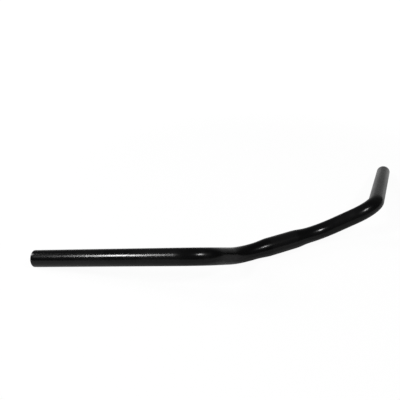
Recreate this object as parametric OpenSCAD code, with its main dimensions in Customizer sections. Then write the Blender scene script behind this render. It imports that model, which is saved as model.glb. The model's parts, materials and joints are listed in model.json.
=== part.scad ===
// Cruiser handlebar: one length of round tube, swaged up to a thicker clamp
// zone in the middle and bent twice on each side, so that it climbs away
// from the stem and sweeps back to two long straight grips.
//
// The origin is the middle of the clamp zone, on the axis of the tube there.
// X runs along the clamp, the front of the bar faces -Y, the grips point
// back towards +Y, and Z is square to the table that the loose bar lies on.

/* [Tube] */
// Outside diameter of the tube at the grips and through the bends
grip_dia = 22.2; // [19:0.1:24]
// Thickness of the tube's wall
wall = 2.2; // [1.2:0.1:3.5]
// Width of the small bevels on the rims of the open ends
end_bevel = 0.5; // [0.2:0.1:0.6]

/* [Clamp zone] */
// Outside diameter where the stem clamps the bar
clamp_dia = 25.4; // [25:0.1:32]
// Length of the parallel clamp seat
clamp_len = 40; // [24:1:70]
// Length of each swaged taper, from the clamp seat down to the plain tube
taper_len = 26; // [12:1:45]
// Plain straight tube between each taper and the first bend
shoulder_len = 1; // [1:1:40]

/* [Rise bends] */
// Radius of the first bends, to the axis of the tube
rise_radius = 76; // [50:1:140]
// How far each first bend turns the tube away from the clamp's line
rise_angle = 33.5; // [10:0.1:55]
// How far the plane of the first bends leans forward from upright
rise_lean = 35.9; // [0:0.1:60]
// Straight tube between the first and the second bend
link_len = 29; // [4:1:90]

/* [Grips] */
// Radius of the second bends, to the axis of the tube
sweep_radius = 46; // [38:0.5:100]
// Angle of the grips behind the clamp's line, seen from above
sweep_back = 39.3; // [10:0.1:75]
// Angle of the grips below level, towards their open ends
grip_droop = 10; // [-10:0.1:25]
// Straight length of each grip, from the second bend to the open end
grip_len = 194; // [120:1:260]

/* [Hidden] */
$fn = 96;
bar_black = [0.09, 0.09, 0.10];

// The bar is drawn in metres, and scaled up to millimetres when it is whole
mm = 1 / 1000;
plain_r = grip_dia / 2 * mm;
swaged_r = clamp_dia / 2 * mm;
wall_m = wall * mm;
bevel_m = end_bevel * mm;
seat_half = clamp_len / 2 * mm;
taper_m = taper_len * mm;
centre_half = seat_half + taper_m + shoulder_len * mm;
rise_m = rise_radius * mm;
link_m = link_len * mm;
sweep_m = sweep_radius * mm;
grip_m = grip_len * mm;

// Flats that stand in for the smooth curve of a taper, how far an arc is
// drawn past its sawn end, and how far the bore's cutter clears the tube
taper_steps = 12;
saw_angle = 4;
saw_margin = 1 * mm;
bore_overrun = 5 * mm;

// The dowel drawn inside each joint of two stretches: its reach to either
// side, and how much thinner than the tube it is
dowel_reach = wall_m;
dowel_step = wall_m / 4;

// Direction of the tube after the first bend, and across it in the plane
// of that bend
rise_dir = [
    cos(rise_angle),
    -sin(rise_angle) * sin(rise_lean),
    sin(rise_angle) * cos(rise_lean)
];
rise_across = [
    -sin(rise_angle),
    -cos(rise_angle) * sin(rise_lean),
    cos(rise_angle) * cos(rise_lean)
];
grip_dir = [
    cos(grip_droop) * cos(sweep_back),
    cos(grip_droop) * sin(sweep_back),
    -sin(grip_droop)
];

// The second bend turns the tube from its first direction into the grip's.
// Its plane is the first bend's plane, rolled about the tube between them.
rise_roll = 90 + rise_lean;
sweep_roll = atan2(grip_dir * cross(rise_dir, rise_across), grip_dir * rise_across);
sweep_angle = acos(rise_dir * grip_dir);

// Radius of the centre piece at a distance from its middle. Each taper is
// a smooth S, level with the seat at one end and with the tube at the other.
function centre_r(tube_r, seat_r, along) =
    let (share = (along - seat_half) / taper_m)
    tube_r + (seat_r - tube_r) * pow(cos(90 * share), 2);

// Outline of half of the centre piece, from the seat's edge to the bend
function half_outline(tube_r, seat_r) = [
    for (step = [0 : taper_steps])
        let (along = seat_half + taper_m * step / taper_steps)
        [centre_r(tube_r, seat_r, along), along],
    [tube_r, centre_half],
    [0, centre_half]
];

// Swaged centre of the bar: the clamp seat with a taper at each side
module centre(tube_r, seat_r) {
    half = half_outline(tube_r, seat_r);
    other_half = [for (i = [len(half) - 1 : -1 : 0]) [half[i].x, -half[i].y]];
    rotate([0, 90, 0]) rotate_extrude() polygon(concat(other_half, half));
}

// A straight stretch that leaves its frame along X
module straight(radius, length) {
    rotate([0, 90, 0]) cylinder(r = radius, h = length);
}

// A cone that leaves its frame along X, from one radius to another
module flare(radius, end_radius, length) {
    rotate([0, 90, 0]) cylinder(r1 = radius, r2 = end_radius, h = length);
}

// The frame at the far end of a bend
module past_bend(bend_r, angle) {
    translate([0, bend_r, 0]) rotate([0, 0, angle]) translate([0, -bend_r, 0])
        children();
}

// A short dowel across the start of a frame, inside the two stretches that
// meet there, so that they are one piece at every size
module dowel(radius) {
    translate([-dowel_reach, 0, 0])
        straight(radius - dowel_step, 2 * dowel_reach);
}

// A bend that leaves its frame along X and turns towards Y, with whatever
// follows it set in the frame at its far end. The arc is drawn a little long
// and sawn off square in that frame, so that the next stretch meets it flat.
module bend(radius, bend_r, angle) {
    saw = radius + saw_margin;
    dowel(radius);
    difference() {
        translate([0, bend_r, 0]) rotate([0, 0, -90])
            rotate_extrude(angle = angle + saw_angle)
                translate([bend_r, 0]) circle(r = radius);
        past_bend(bend_r, angle)
            translate([0, -saw, -saw]) cube([saw, 2 * saw, 2 * saw]);
    }
    past_bend(bend_r, angle) {
        dowel(radius);
        children();
    }
}

// One side of the bar, with the children where its grip starts
module arm(radius) {
    translate([centre_half, 0, 0]) rotate([rise_roll, 0, 0])
        bend(radius, rise_m, rise_angle) {
            straight(radius, link_m);
            translate([link_m, 0, 0]) rotate([sweep_roll, 0, 0])
                bend(radius, sweep_m, sweep_angle) children();
        }
}

// The bar's whole run as a rod, with the children as both of its grips
module rod(tube_r, seat_r) {
    centre(tube_r, seat_r);
    for (side = [0, 1])
        mirror([side, 0, 0]) arm(tube_r) children();
}

// Outside of a grip, with the outer rim of its open end bevelled
module grip_outside() {
    straight(plain_r, grip_m - bevel_m);
    translate([grip_m - bevel_m, 0, 0])
        flare(plain_r, plain_r - bevel_m, bevel_m);
}

// Bore of a grip, with the inner rim of its open end bevelled
module grip_bore() {
    bore_r = plain_r - wall_m;
    flare_m = bevel_m + bore_overrun;
    straight(bore_r, grip_m + bore_overrun);
    translate([grip_m - bevel_m, 0, 0])
        flare(bore_r, bore_r + flare_m, flare_m);
}

// The bent tube: its outside, less the bore that follows it all the way
module handlebar() {
    color(bar_black) scale(1 / mm) difference() {
        rod(plain_r, swaged_r) grip_outside();
        rod(plain_r - wall_m, swaged_r - wall_m) grip_bore();
    }
}

handlebar();
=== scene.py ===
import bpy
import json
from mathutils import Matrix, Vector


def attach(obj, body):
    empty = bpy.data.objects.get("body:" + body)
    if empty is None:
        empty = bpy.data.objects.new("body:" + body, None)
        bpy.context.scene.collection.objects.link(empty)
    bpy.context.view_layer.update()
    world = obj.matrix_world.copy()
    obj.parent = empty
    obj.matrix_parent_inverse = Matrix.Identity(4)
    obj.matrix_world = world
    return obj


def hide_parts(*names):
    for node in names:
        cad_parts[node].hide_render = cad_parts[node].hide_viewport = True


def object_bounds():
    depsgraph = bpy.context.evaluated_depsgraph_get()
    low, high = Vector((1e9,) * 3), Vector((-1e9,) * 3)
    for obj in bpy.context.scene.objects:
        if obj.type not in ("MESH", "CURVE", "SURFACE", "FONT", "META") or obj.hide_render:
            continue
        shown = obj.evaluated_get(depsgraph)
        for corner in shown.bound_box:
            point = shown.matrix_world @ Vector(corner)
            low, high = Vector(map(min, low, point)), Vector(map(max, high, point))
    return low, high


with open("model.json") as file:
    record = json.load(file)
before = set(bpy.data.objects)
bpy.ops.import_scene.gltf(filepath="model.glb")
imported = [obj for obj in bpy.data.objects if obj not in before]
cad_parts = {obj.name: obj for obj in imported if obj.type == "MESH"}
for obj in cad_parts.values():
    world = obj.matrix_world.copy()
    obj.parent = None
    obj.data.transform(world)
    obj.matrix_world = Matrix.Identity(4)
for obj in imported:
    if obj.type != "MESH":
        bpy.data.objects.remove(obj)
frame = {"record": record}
CAD_BOX = [list(corner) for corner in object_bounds()]

import json
import math
from typing import NamedTuple

import bmesh
import bpy
from bpy.props import FloatProperty, FloatVectorProperty, IntProperty, PointerProperty
from mathutils import Euler, Matrix, Vector

bl_info = {
    "name": "Cruiser handlebar",
    "version": (1, 0, 0),
    "blender": (4, 5, 0),
    "location": "3D View > Sidebar > Handlebar",
    "description": "A black cruiser handlebar bent from one swaged tube, on a white studio floor",
    "category": "Add Mesh",
}

MM = 0.001
# Points closer than this are one point
MERGE = 0.02 * MM
# Faces on the straight stretches are this many times longer than in the bends
LINK_STEP = 2
GRIP_STEP = 3


def mount(name):
    """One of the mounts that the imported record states."""
    for stated in frame["record"]["mounts"]:
        if stated["name"] == name:
            return stated
    raise RuntimeError(f"the record states no mount named {name}")


CLAMP_SEAT = mount("clamp_seat")["dims"]
GRIP_SEAT = mount("right_grip")["dims"]
END_BEVEL = 0.5 * MM


class HANDLEBAR_PG_sizes(bpy.types.PropertyGroup):
    """Sizes of the bent tube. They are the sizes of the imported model."""

    tube_diameter: FloatProperty(
        name="Tube diameter",
        description="Outside of the tube at the grips and through the bends",
        default=2 * GRIP_SEAT["r_mm"] * MM,
        unit="LENGTH",
    )
    wall: FloatProperty(
        name="Wall",
        description="Thickness of the tube's wall",
        default=2.2 * MM,
        unit="LENGTH",
    )
    end_bevel: FloatProperty(
        name="End bevel",
        description="Width of the rounding on the rims of the open ends",
        default=END_BEVEL,
        unit="LENGTH",
    )
    clamp_diameter: FloatProperty(
        name="Clamp diameter",
        description="Outside of the tube where the stem clamps it",
        default=2 * CLAMP_SEAT["r_mm"] * MM,
        unit="LENGTH",
    )
    clamp_length: FloatProperty(
        name="Clamp length",
        description="Length of the parallel clamp seat",
        default=CLAMP_SEAT["length_mm"] * MM,
        unit="LENGTH",
    )
    taper_length: FloatProperty(
        name="Taper length",
        description="Length of each swaged taper beside the clamp seat",
        default=26 * MM,
        unit="LENGTH",
    )
    shoulder_length: FloatProperty(
        name="Shoulder length",
        description="Straight tube between each taper and the first bend",
        default=1 * MM,
        unit="LENGTH",
    )
    rise_radius: FloatProperty(
        name="Rise radius",
        description="Radius of the first bends, to the axis of the tube",
        default=76 * MM,
        unit="LENGTH",
    )
    rise_angle: FloatProperty(
        name="Rise angle",
        description="How far each first bend turns the tube away from the clamp's line",
        default=math.radians(33.5),
        subtype="ANGLE",
    )
    rise_lean: FloatProperty(
        name="Rise lean",
        description="How far the plane of the first bends leans forward from upright",
        default=math.radians(35.9),
        subtype="ANGLE",
    )
    link_length: FloatProperty(
        name="Link length",
        description="Straight tube between the first and the second bend",
        default=29 * MM,
        unit="LENGTH",
    )
    sweep_radius: FloatProperty(
        name="Sweep radius",
        description="Radius of the second bends, to the axis of the tube",
        default=46 * MM,
        unit="LENGTH",
    )
    sweep_back: FloatProperty(
        name="Sweep back",
        description="Angle of the grips behind the clamp's line, seen from above",
        default=math.radians(39.3),
        subtype="ANGLE",
    )
    grip_droop: FloatProperty(
        name="Grip droop",
        description="Angle of the grips below level, towards their open ends",
        default=math.radians(10),
        subtype="ANGLE",
    )
    grip_length: FloatProperty(
        name="Grip length",
        description="Straight length of each grip, from the second bend to the open end",
        default=GRIP_SEAT["length_mm"] * MM + END_BEVEL,
        unit="LENGTH",
    )
    sides: IntProperty(
        name="Sides",
        description="Faces round the tube",
        default=96,
        min=24,
    )
    step_length: FloatProperty(
        name="Step length",
        description="Longest face along the bends and tapers",
        default=2 * MM,
        unit="LENGTH",
    )


class HANDLEBAR_PG_finish(bpy.types.PropertyGroup):
    """Colours and gloss of the coat and of the bare metal in the bore."""

    coat_colour: FloatVectorProperty(
        name="Coat colour",
        description="Black of the coat on the outside of the tube",
        default=(0.0015, 0.0015, 0.0017, 1.0),
        size=4,
        subtype="COLOR",
    )
    dust_colour: FloatVectorProperty(
        name="Dust colour",
        description="Paler black where fine dust and rubbing dull the coat",
        default=(0.0055, 0.0055, 0.0058, 1.0),
        size=4,
        subtype="COLOR",
    )
    coat_shine: FloatProperty(
        name="Coat shine",
        description="How strongly the coat mirrors what is round it",
        default=0.3,
    )
    gloss_low: FloatProperty(
        name="Shiniest coat",
        description="Roughness of the coat where it is shiniest",
        default=0.185,
    )
    gloss_high: FloatProperty(
        name="Dullest coat",
        description="Roughness of the coat where handling has dulled it",
        default=0.25,
    )
    seat_roughness: FloatProperty(
        name="Clamp seat roughness",
        description="Roughness of the band that the stem grips",
        default=0.18,
    )
    seat_band: FloatProperty(
        name="Clamp seat band",
        description="Length of the paler band that the stem grips",
        default=46 * MM,
        unit="LENGTH",
    )
    ripple_depth: FloatProperty(
        name="Ripple depth",
        description="Height of the waves that spraying leaves in the coat",
        default=0.04 * MM,
        unit="LENGTH",
    )
    metal_colour: FloatVectorProperty(
        name="Metal colour",
        description="Bare aluminium inside the bore",
        default=(0.42, 0.43, 0.44, 1.0),
        size=4,
        subtype="COLOR",
    )
    drawn_colour: FloatVectorProperty(
        name="Drawn line colour",
        description="Brighter lines that drawing leaves along the bore",
        default=(0.62, 0.62, 0.62, 1.0),
        size=4,
        subtype="COLOR",
    )
    overspray: FloatProperty(
        name="Overspray",
        description="How far the coat reaches into the bore from each open end",
        default=22 * MM,
        unit="LENGTH",
    )


class HANDLEBAR_PG_stage(bpy.types.PropertyGroup):
    """Camera, floor and light."""

    camera_place: FloatVectorProperty(
        name="Camera place",
        description="Where the camera stands, from the middle of the clamp seat",
        default=(-0.366047, -0.444708, 0.371592),
        subtype="TRANSLATION",
        unit="LENGTH",
    )
    camera_turn: FloatVectorProperty(
        name="Camera turn",
        description="Pitch, roll and heading of the camera",
        default=(math.radians(61.5298), math.radians(-1.0452), math.radians(-27.4512)),
        subtype="EULER",
    )
    lens: FloatProperty(
        name="Lens",
        description="Focal length of the camera, in millimetres",
        default=43.5961,
    )
    sensor_width: FloatProperty(
        name="Sensor width",
        description="Width of the camera's frame, in millimetres",
        default=36.0,
    )
    floor_size: FloatProperty(
        name="Floor size",
        description="Length of each side of the floor",
        default=12.0,
        unit="LENGTH",
    )
    floor_colour: FloatVectorProperty(
        name="Floor colour",
        description="Pale matt floor",
        default=(0.4, 0.4, 0.4, 1.0),
        size=4,
        subtype="COLOR",
    )
    floor_glow: FloatProperty(
        name="Floor glow",
        description="Share of plain white in the floor's look near the bar, where the shadow falls",
        default=0.88,
    )
    shadow_reach: FloatProperty(
        name="Shadow reach",
        description="Distance from the bar at which the last of its shadow is lost in plain white",
        default=1.2,
        unit="LENGTH",
    )
    white: FloatProperty(
        name="White",
        description="Strength of the plain white in the look of the floor and of the room",
        default=1.08,
    )
    mirrored: FloatProperty(
        name="Mirrored",
        description="Share of the plain white that shows in reflections",
        default=0.22,
    )
    mirror_front: FloatProperty(
        name="Mirror front",
        description="Where on Y the floor's plain white starts to show in reflections",
        default=-40 * MM,
        unit="LENGTH",
    )
    mirror_back: FloatProperty(
        name="Mirror back",
        description="Where on Y the floor shows its whole share of plain white in reflections",
        default=50 * MM,
        unit="LENGTH",
    )
    backdrop_top: FloatProperty(
        name="Backdrop top",
        description="How high above the floor the backdrop behind the bar reaches in reflections",
        default=math.radians(50),
        subtype="ANGLE",
    )
    backdrop_edge: FloatProperty(
        name="Backdrop edge",
        description="Angle behind the bar's line from which the backdrop is at full strength",
        default=math.radians(30),
        subtype="ANGLE",
    )
    room_light: FloatProperty(
        name="Room light",
        description="Strength of the dim light that comes from all over the room",
        default=0.06,
    )
    lamp_level: FloatProperty(
        name="Lamp level",
        description="Factor on the strength of every lamp",
        default=1.0,
    )


class Wall:
    """One wall of the tube: a ring of edges that is drawn out along the run."""

    def __init__(self, bm, radius, sides):
        self.bm = bm
        self.place = Matrix.Identity(4)
        self.radius = radius
        self.run = 0.0
        self.lay = bm.verts.layers.float_vector["lay"]
        across_x = Matrix.Rotation(math.radians(90), 4, "Y")
        made = bmesh.ops.create_circle(bm, segments=sides, radius=radius, matrix=across_x)
        for vert in made["verts"]:
            vert[self.lay] = Vector((vert.co.y, vert.co.z, 0)) / radius
        self.ring = list({edge for vert in made["verts"] for edge in vert.link_edges})
        self.faces = []

    def draw(self, move, length, radius=None):
        """Extrudes the ring by one move in its own frame, to a new radius."""
        radius = radius or self.radius
        made = bmesh.ops.extrude_edge_only(self.bm, edges=self.ring)["geom"]
        verts = [part for part in made if isinstance(part, bmesh.types.BMVert)]
        share = radius / self.radius
        resize = Matrix.Diagonal((1, share, share, 1))
        step = self.place @ move @ resize @ self.place.inverted()
        bmesh.ops.transform(self.bm, matrix=step, verts=verts)
        self.place = self.place @ move
        self.radius = radius
        self.run += length
        for vert in verts:
            vert[self.lay].z = self.run
        self.ring = [
            part for part in made
            if isinstance(part, bmesh.types.BMEdge) and all(vert in verts for vert in part.verts)
        ]
        self.faces += [part for part in made if isinstance(part, bmesh.types.BMFace)]

    def straight(self, length, steps=1):
        """Draws a straight stretch."""
        for _ in range(steps):
            self.draw(Matrix.Translation((length / steps, 0, 0)), length / steps)

    def taper(self, length, radius, steps):
        """Draws a smooth S from the present radius to another."""
        first = self.radius
        for step in range(1, steps + 1):
            eased = math.cos(math.radians(90) * step / steps) ** 2
            ahead = Matrix.Translation((length / steps, 0, 0))
            self.draw(ahead, length / steps, radius + (first - radius) * eased)

    def bend(self, bend_radius, angle, steps):
        """Draws an arc that turns from X towards Y of the ring's own frame."""
        centre = Matrix.Translation((0, bend_radius, 0))
        turn = centre @ Matrix.Rotation(angle / steps, 4, "Z") @ centre.inverted()
        for _ in range(steps):
            self.draw(turn, bend_radius * angle / steps)

    def roll(self, angle):
        """Turns the plane of the next bend about the tube."""
        self.place = self.place @ Matrix.Rotation(angle, 4, "X")

    def rim(self):
        """The points of the ring where it stands now."""
        return list({vert for edge in self.ring for vert in edge.verts})


def bend_frames(sizes):
    """Rolls of the two bend planes, and the angle of the second bend."""
    rise = Matrix.Rotation(math.radians(90) + sizes.rise_lean, 3, "X")
    rise = rise @ Matrix.Rotation(sizes.rise_angle, 3, "Z")
    level = math.cos(sizes.grip_droop)
    grip = Vector((
        level * math.cos(sizes.sweep_back),
        level * math.sin(sizes.sweep_back),
        -math.sin(sizes.grip_droop),
    ))
    seen = rise.transposed() @ grip
    sweep_roll = math.atan2(seen.z, seen.y)
    return math.radians(90) + sizes.rise_lean, sweep_roll, math.acos(seen.x)


def run_length(sizes):
    """Length of half of the tube's axis, from the middle to an open end."""
    sweep_angle = bend_frames(sizes)[2]
    return (
        sizes.clamp_length / 2
        + sizes.taper_length
        + sizes.shoulder_length
        + sizes.rise_radius * sizes.rise_angle
        + sizes.link_length
        + sizes.sweep_radius * sweep_angle
        + sizes.grip_length
    )


def draw_run(wall, sizes, tube_radius):
    """Draws one wall of the tube from the middle of the clamp seat to an open end."""
    rise_roll, sweep_roll, sweep_angle = bend_frames(sizes)

    def steps(length, longer=1):
        return math.ceil(length / longer / sizes.step_length)

    wall.straight(sizes.clamp_length / 2, steps(sizes.clamp_length / 2))
    wall.taper(sizes.taper_length, tube_radius, steps(sizes.taper_length))
    wall.straight(sizes.shoulder_length)
    wall.roll(rise_roll)
    wall.bend(sizes.rise_radius, sizes.rise_angle, steps(sizes.rise_radius * sizes.rise_angle))
    wall.straight(sizes.link_length, steps(sizes.link_length, LINK_STEP))
    wall.roll(sweep_roll)
    wall.bend(sizes.sweep_radius, sweep_angle, steps(sizes.sweep_radius * sweep_angle))
    wall.straight(sizes.grip_length, steps(sizes.grip_length, GRIP_STEP))


def join_walls(bm, outside, bore, sizes):
    """Closes the tube's wall at its open end, and rounds the two rims there."""
    # A flat ring of faces, drawn in place from the outside's edge to the bore's
    outside.draw(Matrix.Identity(4), 0.0, bore.radius)
    bmesh.ops.remove_doubles(bm, verts=outside.rim() + bore.rim(), dist=MERGE)
    bmesh.ops.recalc_face_normals(bm, faces=bm.faces[:])
    lay = bm.verts.layers.float_vector["lay"]
    end = {face for face in bm.faces if all(vert[lay].z > bore.run - MERGE for vert in face.verts)}
    rims = [edge for face in end for edge in face.edges if not end.issuperset(edge.link_faces)]
    if len(end) != sizes.sides or len(rims) != 2 * sizes.sides:
        raise RuntimeError("the tube's walls don't meet at its end")
    bmesh.ops.bevel(
        bm,
        geom=rims,
        offset=sizes.end_bevel,
        segments=4,
        profile=0.5,
        affect="EDGES",
        material=-1,
    )


def tube_mesh(sizes):
    """The whole bent tube: half of it is drawn, and mirrored at the middle of the clamp seat."""
    bm = bmesh.new()
    bm.verts.layers.float_vector.new("lay")
    outside = Wall(bm, sizes.clamp_diameter / 2, sizes.sides)
    draw_run(outside, sizes, sizes.tube_diameter / 2)
    bore = Wall(bm, sizes.clamp_diameter / 2 - sizes.wall, sizes.sides)
    draw_run(bore, sizes, sizes.tube_diameter / 2 - sizes.wall)
    for face in bore.faces:
        face.material_index = 1
    join_walls(bm, outside, bore, sizes)

    everything = bm.verts[:] + bm.edges[:] + bm.faces[:]
    bmesh.ops.mirror(bm, geom=everything, axis="X", merge_dist=MERGE)
    bmesh.ops.remove_doubles(bm, verts=bm.verts[:], dist=MERGE)
    bmesh.ops.recalc_face_normals(bm, faces=bm.faces[:])
    if any(not edge.is_manifold for edge in bm.edges):
        raise RuntimeError("the tube's wall isn't closed")
    for face in bm.faces:
        face.smooth = True
    mesh = bpy.data.meshes.new("bent_tube")
    bm.to_mesh(mesh)
    bm.free()
    return mesh


class Graph:
    """A node tree with a short way to add and join nodes."""

    def __init__(self, tree):
        self.tree = tree

    def node(self, kind, **values):
        """Adds a node. Values set its properties, or its sockets where it has no such property."""
        made = self.tree.nodes.new(kind)
        for name, value in values.items():
            if hasattr(made, name):
                setattr(made, name, value)
            else:
                self.feed(made.inputs[name.replace("_", " ")], value)
        return made

    def feed(self, socket, value):
        """Links an output to a socket, or sets the socket's own value."""
        if isinstance(value, bpy.types.NodeSocket):
            self.tree.links.new(value, socket)
        else:
            socket.default_value = value

    def maths(self, operation, first, second=0.0):
        """Works one value out of another, or out of two."""
        made = self.tree.nodes.new("ShaderNodeMath")
        made.operation = operation
        self.feed(made.inputs[0], first)
        self.feed(made.inputs[1], second)
        return made.outputs[0]

    def span(self, value, low, high, first, last):
        """Maps low to first and high to last, smoothly and no further."""
        made = self.node("ShaderNodeMapRange", interpolation_type="SMOOTHSTEP")
        for name, given in zip(
            ("Value", "From Min", "From Max", "To Min", "To Max"),
            (value, low, high, first, last),
        ):
            self.feed(made.inputs[name], given)
        return made.outputs["Result"]

    def noise(self, place, scale, detail):
        """Soft random spots of about one over the scale in size."""
        made = self.node("ShaderNodeTexNoise", Vector=place, Scale=scale, Detail=detail)
        return made.outputs[0]

    def blend(self, share, first, last):
        """Mixes two colours."""
        made = self.node("ShaderNodeMix", data_type="RGBA")
        self.feed(made.inputs["Factor"], share)
        self.feed(made.inputs[6], first)
        self.feed(made.inputs[7], last)
        return made.outputs[2]


def new_effect(name, inputs, outputs):
    """An empty shader node group with named inputs, their defaults and named outputs."""
    tree = bpy.data.node_groups.new(name, "ShaderNodeTree")
    for label, kind, default in inputs:
        made = tree.interface.new_socket(label, in_out="INPUT", socket_type=kind)
        if default is not None:
            made.default_value = default
    for label, kind in outputs:
        tree.interface.new_socket(label, in_out="OUTPUT", socket_type=kind)
    graph = Graph(tree)
    return graph, graph.node("NodeGroupInput").outputs, graph.node("NodeGroupOutput").inputs


def handling_effect():
    """Broad soft patches and small smears, as handling leaves them on a gloss surface."""
    graph, given, result = new_effect(
        "Handling",
        [
            ("Vector", "NodeSocketVector", None),
            ("Patch Scale", "NodeSocketFloat", 14.0),
            ("Smear Scale", "NodeSocketFloat", 90.0),
        ],
        [("Mask", "NodeSocketFloat")],
    )
    patch_low, patch_high, patch_share = 0.40, 0.66, 0.6
    smear_low, smear_high, smear_share = 0.45, 0.75, 0.4
    patches = graph.noise(given["Vector"], given["Patch Scale"], detail=3.0)
    smears = graph.noise(given["Vector"], given["Smear Scale"], detail=4.0)
    broad = graph.span(patches, patch_low, patch_high, 0.0, patch_share)
    fine = graph.span(smears, smear_low, smear_high, 0.0, smear_share)
    graph.feed(result["Mask"], graph.maths("ADD", broad, fine))
    return graph.tree


def ripple_effect():
    """The slight waviness of a sprayed coat, with a finer grain on it."""
    graph, given, result = new_effect(
        "Coat ripple",
        [
            ("Vector", "NodeSocketVector", None),
            ("Wave Scale", "NodeSocketFloat", 240.0),
            ("Grain Scale", "NodeSocketFloat", 900.0),
            ("Grain Share", "NodeSocketFloat", 0.08),
        ],
        [("Height", "NodeSocketFloat")],
    )
    waves = graph.noise(given["Vector"], given["Wave Scale"], detail=1.0)
    grain = graph.noise(given["Vector"], given["Grain Scale"], detail=1.0)
    shared = graph.maths("MULTIPLY", grain, given["Grain Share"])
    graph.feed(result["Height"], graph.maths("ADD", waves, shared))
    return graph.tree


def placed(graph, tree, **values):
    """Places an effect in a material, with values for its inputs."""
    made = graph.node("ShaderNodeGroup", node_tree=tree)
    for name, value in values.items():
        graph.feed(made.inputs[name.replace("_", " ")], value)
    return made.outputs[0]


def new_material(name):
    """An empty material, its graph and its shader."""
    made = bpy.data.materials.new(name)
    made.use_nodes = True
    made.node_tree.nodes.clear()
    graph = Graph(made.node_tree)
    shader = graph.node("ShaderNodeBsdfPrincipled")
    output = graph.node("ShaderNodeOutputMaterial")
    graph.feed(output.inputs["Surface"], shader.outputs[0])
    return made, graph, shader


def coat_material(finish, effects):
    """Black gloss coat, a little paler where the stem clamps it."""
    made, graph, shader = new_material("Black gloss coat")
    place = graph.node("ShaderNodeTexCoord").outputs["Object"]
    along = graph.node("ShaderNodeSeparateXYZ", Vector=place).outputs["X"]
    from_middle = graph.maths("ABSOLUTE", along)
    handled = placed(graph, effects["handling"], Vector=place)
    ripple = placed(graph, effects["ripple"], Vector=place)

    ragged_edge = 3 * MM
    soft_edge = 4 * MM
    edge = finish.seat_band / 2
    reach = graph.maths("ADD", from_middle, graph.maths("MULTIPLY", handled, ragged_edge))
    seat = graph.span(reach, edge - soft_edge, edge + soft_edge, 1.0, 0.0)
    gloss = graph.span(handled, 0.0, 1.0, finish.gloss_low, finish.gloss_high)
    roughness = graph.span(seat, 0.0, 1.0, gloss, finish.seat_roughness)
    graph.feed(shader.inputs["Roughness"], roughness)

    dulled = graph.maths("MAXIMUM", handled, seat)
    colour = graph.blend(dulled, finish.coat_colour[:], finish.dust_colour[:])
    graph.feed(shader.inputs["Base Color"], colour)
    shader.inputs["IOR"].default_value = 1.5
    shader.inputs["Specular IOR Level"].default_value = finish.coat_shine

    bump = graph.node("ShaderNodeBump", Strength=1.0, Distance=finish.ripple_depth, Height=ripple)
    graph.feed(shader.inputs["Normal"], bump.outputs[0])
    return made


def bore_material(sizes, finish, effects):
    """Bare drawn aluminium, with the coat's overspray near each open end."""
    made, graph, shader = new_material("Drawn aluminium")
    lay = graph.node("ShaderNodeAttribute", attribute_name="lay").outputs["Vector"]
    run = graph.node("ShaderNodeSeparateXYZ", Vector=lay).outputs["Z"]
    place = graph.node("ShaderNodeTexCoord").outputs["Object"]
    handled = placed(graph, effects["handling"], Vector=place, Smear_Scale=300.0)
    # Long along the run and short round the bore, so that the ripple looks like drawn lines
    stretch = (1.0, 1.0, 4.0)
    drawn_out = graph.node("ShaderNodeMapping", Vector=lay, Scale=stretch).outputs[0]
    lines = placed(graph, effects["ripple"], Vector=drawn_out, Wave_Scale=26.0, Grain_Scale=90.0)

    coated_rim = 2 * MM
    ragged_edge = 8 * MM
    from_end = graph.maths("SUBTRACT", run_length(sizes), run)
    depth = graph.maths("ADD", from_end, graph.maths("MULTIPLY", handled, ragged_edge))
    bare = graph.span(depth, coated_rim, finish.overspray, 0.0, 1.0)
    metal = graph.blend(lines, finish.metal_colour[:], finish.drawn_colour[:])
    colour = graph.blend(bare, finish.coat_colour[:], metal)
    graph.feed(shader.inputs["Base Color"], colour)
    graph.feed(shader.inputs["Metallic"], bare)
    drawn_roughness, worn_roughness = 0.32, 0.5
    roughness = graph.span(handled, 0.0, 1.0, drawn_roughness, worn_roughness)
    graph.feed(shader.inputs["Roughness"], roughness)
    line_depth = 0.03 * MM
    bump = graph.node("ShaderNodeBump", Strength=0.3, Distance=line_depth, Height=lines)
    graph.feed(shader.inputs["Normal"], bump.outputs[0])
    return made


def white_share(graph, stage):
    """How much of the plain white a ray sees: all from the camera, a share in reflections."""
    paths = graph.node("ShaderNodeLightPath").outputs
    bounced = graph.maths("MAXIMUM", paths["Is Glossy Ray"], paths["Is Transmission Ray"])
    share = graph.maths("MULTIPLY", bounced, stage.mirrored)
    return graph.maths("MAXIMUM", paths["Is Camera Ray"], share)


def floor_material(stage):
    """Matt floor that the camera sees as almost plain white, and reflections in part."""
    made, graph, shader = new_material("Studio floor")
    graph.feed(shader.inputs["Base Color"], stage.floor_colour[:])
    shader.inputs["Roughness"].default_value = 0.9
    shader.inputs["Specular IOR Level"].default_value = 0.0
    place = graph.node("ShaderNodeTexCoord").outputs["Object"]
    away = graph.node("ShaderNodeVectorMath", operation="LENGTH")
    graph.feed(away.inputs[0], place)
    reach = stage.shadow_reach
    fade_start = reach / 3
    glow = graph.span(away.outputs["Value"], fade_start, reach, stage.floor_glow, 1.0)

    depth = graph.node("ShaderNodeSeparateXYZ", Vector=place).outputs["Y"]
    behind = graph.span(depth, stage.mirror_front, stage.mirror_back, 0.0, 1.0)
    from_camera = graph.node("ShaderNodeLightPath").outputs["Is Camera Ray"]
    bright = graph.maths("MULTIPLY", glow, graph.maths("MAXIMUM", from_camera, behind))
    share = graph.maths("MULTIPLY", white_share(graph, stage), bright)

    white = graph.node("ShaderNodeEmission", Strength=stage.white)
    mixed = graph.node("ShaderNodeMixShader")
    graph.feed(mixed.inputs[0], share)
    graph.feed(mixed.inputs[1], shader.outputs[0])
    graph.feed(mixed.inputs[2], white.outputs[0])
    output = made.node_tree.nodes["Material Output"]
    graph.feed(output.inputs["Surface"], mixed.outputs[0])
    return made


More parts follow.
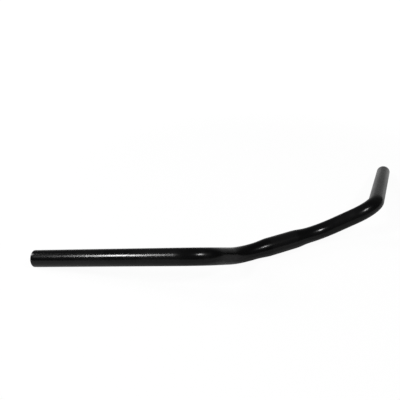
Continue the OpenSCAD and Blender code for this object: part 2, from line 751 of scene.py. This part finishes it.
def add_floor(stage):
    """A large square floor, level with the lowest point of the bar."""
    bm = bmesh.new()
    level = Matrix.Translation((0, 0, CAD_BOX[0][2]))
    bmesh.ops.create_grid(bm, x_segments=1, y_segments=1, size=stage.floor_size / 2, matrix=level)
    mesh = bpy.data.meshes.new("floor")
    bm.to_mesh(mesh)
    bm.free()
    mesh.materials.append(floor_material(stage))
    floor = bpy.data.objects.new("floor", mesh)
    bpy.context.scene.collection.objects.link(floor)


def add_room(stage):
    """The room: plain white to the camera, and dim but for a backdrop in reflections."""
    world = bpy.data.worlds.new("room")
    world.use_nodes = True
    world.node_tree.nodes.clear()
    graph = Graph(world.node_tree)
    towards = graph.node("ShaderNodeTexCoord").outputs["Generated"]
    heading = graph.node("ShaderNodeSeparateXYZ", Vector=towards).outputs
    paths = graph.node("ShaderNodeLightPath").outputs
    low = graph.span(heading["Z"], 0.0, math.sin(stage.backdrop_top), 1.0, 0.0)
    behind = graph.span(heading["Y"], 0.0, math.sin(stage.backdrop_edge), 0.0, 1.0)
    backdrop = graph.maths("MULTIPLY", low, behind)
    visible = graph.maths("MAXIMUM", paths["Is Camera Ray"], backdrop)
    shown = graph.maths("MULTIPLY", visible, white_share(graph, stage))
    plain = graph.maths("MULTIPLY", shown, stage.white)
    strength = graph.maths("MAXIMUM", plain, stage.room_light)
    light = graph.node("ShaderNodeBackground", Color=(1.0, 1.0, 1.0, 1.0), Strength=strength)
    output = graph.node("ShaderNodeOutputWorld")
    graph.feed(output.inputs["Surface"], light.outputs[0])
    bpy.context.scene.world = world


class Lamp(NamedTuple):
    """A flat lamp that faces the middle of the bar. Angles are in degrees."""

    # From the back of the bar (+Y) towards its right (+X)
    heading: float
    # Above the floor
    rise: float
    # From the middle of the bar
    distance: float
    width: float
    height: float
    # About the lamp's own beam
    turn: float
    watts: float


# The left lamp is turned so that its short side runs along the left grip
LAMPS = {
    "left_box": Lamp(
        heading=-89.7, rise=41, distance=2.0, width=0.17, height=0.50, turn=45, watts=20.5
    ),
    "front_box": Lamp(
        heading=157, rise=53.5, distance=2.2, width=0.28, height=0.28, turn=0, watts=19.0
    ),
    "back_box": Lamp(
        heading=-50, rise=24, distance=2.0, width=0.60, height=0.60, turn=0, watts=24.0
    ),
}


def add_lamp(name, level):
    """Adds one of the lamps, out of the camera's sight."""
    lamp = LAMPS[name]
    data = bpy.data.lights.new(name, "AREA")
    data.shape = "RECTANGLE"
    data.size = lamp.width
    data.size_y = lamp.height
    data.energy = lamp.watts * level
    heading = math.radians(lamp.heading)
    rise = math.radians(lamp.rise)
    flat = math.cos(rise)
    towards = Vector((flat * math.sin(heading), flat * math.cos(heading), math.sin(rise)))
    faced = towards.to_track_quat("Z", "Y").to_matrix().to_4x4()
    turned = Matrix.Rotation(math.radians(lamp.turn), 4, "Z")
    placed_lamp = bpy.data.objects.new(name, data)
    placed_lamp.matrix_world = Matrix.Translation(towards * lamp.distance) @ faced @ turned
    placed_lamp.visible_camera = False
    bpy.context.scene.collection.objects.link(placed_lamp)


def add_camera(stage):
    """The camera, at the photograph's viewing angle."""
    data = bpy.data.cameras.new("camera")
    data.sensor_width = stage.sensor_width
    data.lens = stage.lens
    camera = bpy.data.objects.new("camera", data)
    camera.location = stage.camera_place
    camera.rotation_euler = Euler(stage.camera_turn)
    bpy.context.scene.collection.objects.link(camera)
    bpy.context.scene.camera = camera


class HANDLEBAR_OT_add_tube(bpy.types.Operator):
    """Adds the bent tube with its coat and its bare bore"""

    bl_idname = "handlebar.add_tube"
    bl_label = "Add bent tube"

    def execute(self, context):
        sizes = context.scene.handlebar_sizes
        finish = context.scene.handlebar_finish
        effects = {"handling": handling_effect(), "ripple": ripple_effect()}
        mesh = tube_mesh(sizes)
        mesh.materials.append(coat_material(finish, effects))
        mesh.materials.append(bore_material(sizes, finish, effects))
        tube = bpy.data.objects.new("bent_tube", mesh)
        context.scene.collection.objects.link(tube)
        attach(tube, "root")
        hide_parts("handlebar")
        return {"FINISHED"}


class HANDLEBAR_OT_add_stage(bpy.types.Operator):
    """Adds the floor, the room's light, the lamps and the camera"""

    bl_idname = "handlebar.add_stage"
    bl_label = "Add stage"

    def execute(self, context):
        stage = context.scene.handlebar_stage
        add_floor(stage)
        add_room(stage)
        for name in LAMPS:
            add_lamp(name, stage.lamp_level)
        add_camera(stage)
        context.scene.view_settings.view_transform = "Standard"
        return {"FINISHED"}


class HANDLEBAR_PT_panel(bpy.types.Panel):
    """Lists the sizes, the finish, the stage and the steps that make them"""

    bl_label = "Cruiser handlebar"
    bl_idname = "HANDLEBAR_PT_panel"
    bl_space_type = "VIEW_3D"
    bl_region_type = "UI"
    bl_category = "Handlebar"

    def draw(self, context):
        layout = self.layout
        for owner in SETTINGS:
            box = layout.box()
            settings = getattr(context.scene, owner)
            for name in settings.__annotations__:
                box.prop(settings, name)
        for step in OPERATORS:
            layout.operator(step.bl_idname)


SETTINGS = {
    "handlebar_sizes": HANDLEBAR_PG_sizes,
    "handlebar_finish": HANDLEBAR_PG_finish,
    "handlebar_stage": HANDLEBAR_PG_stage,
}
OPERATORS = (HANDLEBAR_OT_add_tube, HANDLEBAR_OT_add_stage)


def register():
    for group in SETTINGS.values():
        bpy.utils.register_class(group)
    for operator in OPERATORS:
        bpy.utils.register_class(operator)
    bpy.utils.register_class(HANDLEBAR_PT_panel)
    for name, group in SETTINGS.items():
        setattr(bpy.types.Scene, name, PointerProperty(type=group))


def unregister():
    for name in SETTINGS:
        delattr(bpy.types.Scene, name)
    bpy.utils.unregister_class(HANDLEBAR_PT_panel)
    for operator in reversed(OPERATORS):
        bpy.utils.unregister_class(operator)
    for group in reversed(SETTINGS.values()):
        bpy.utils.unregister_class(group)


def main():
    register()
    bpy.ops.handlebar.add_tube()
    bpy.ops.handlebar.add_stage()


if __name__ == "__main__":
    main()
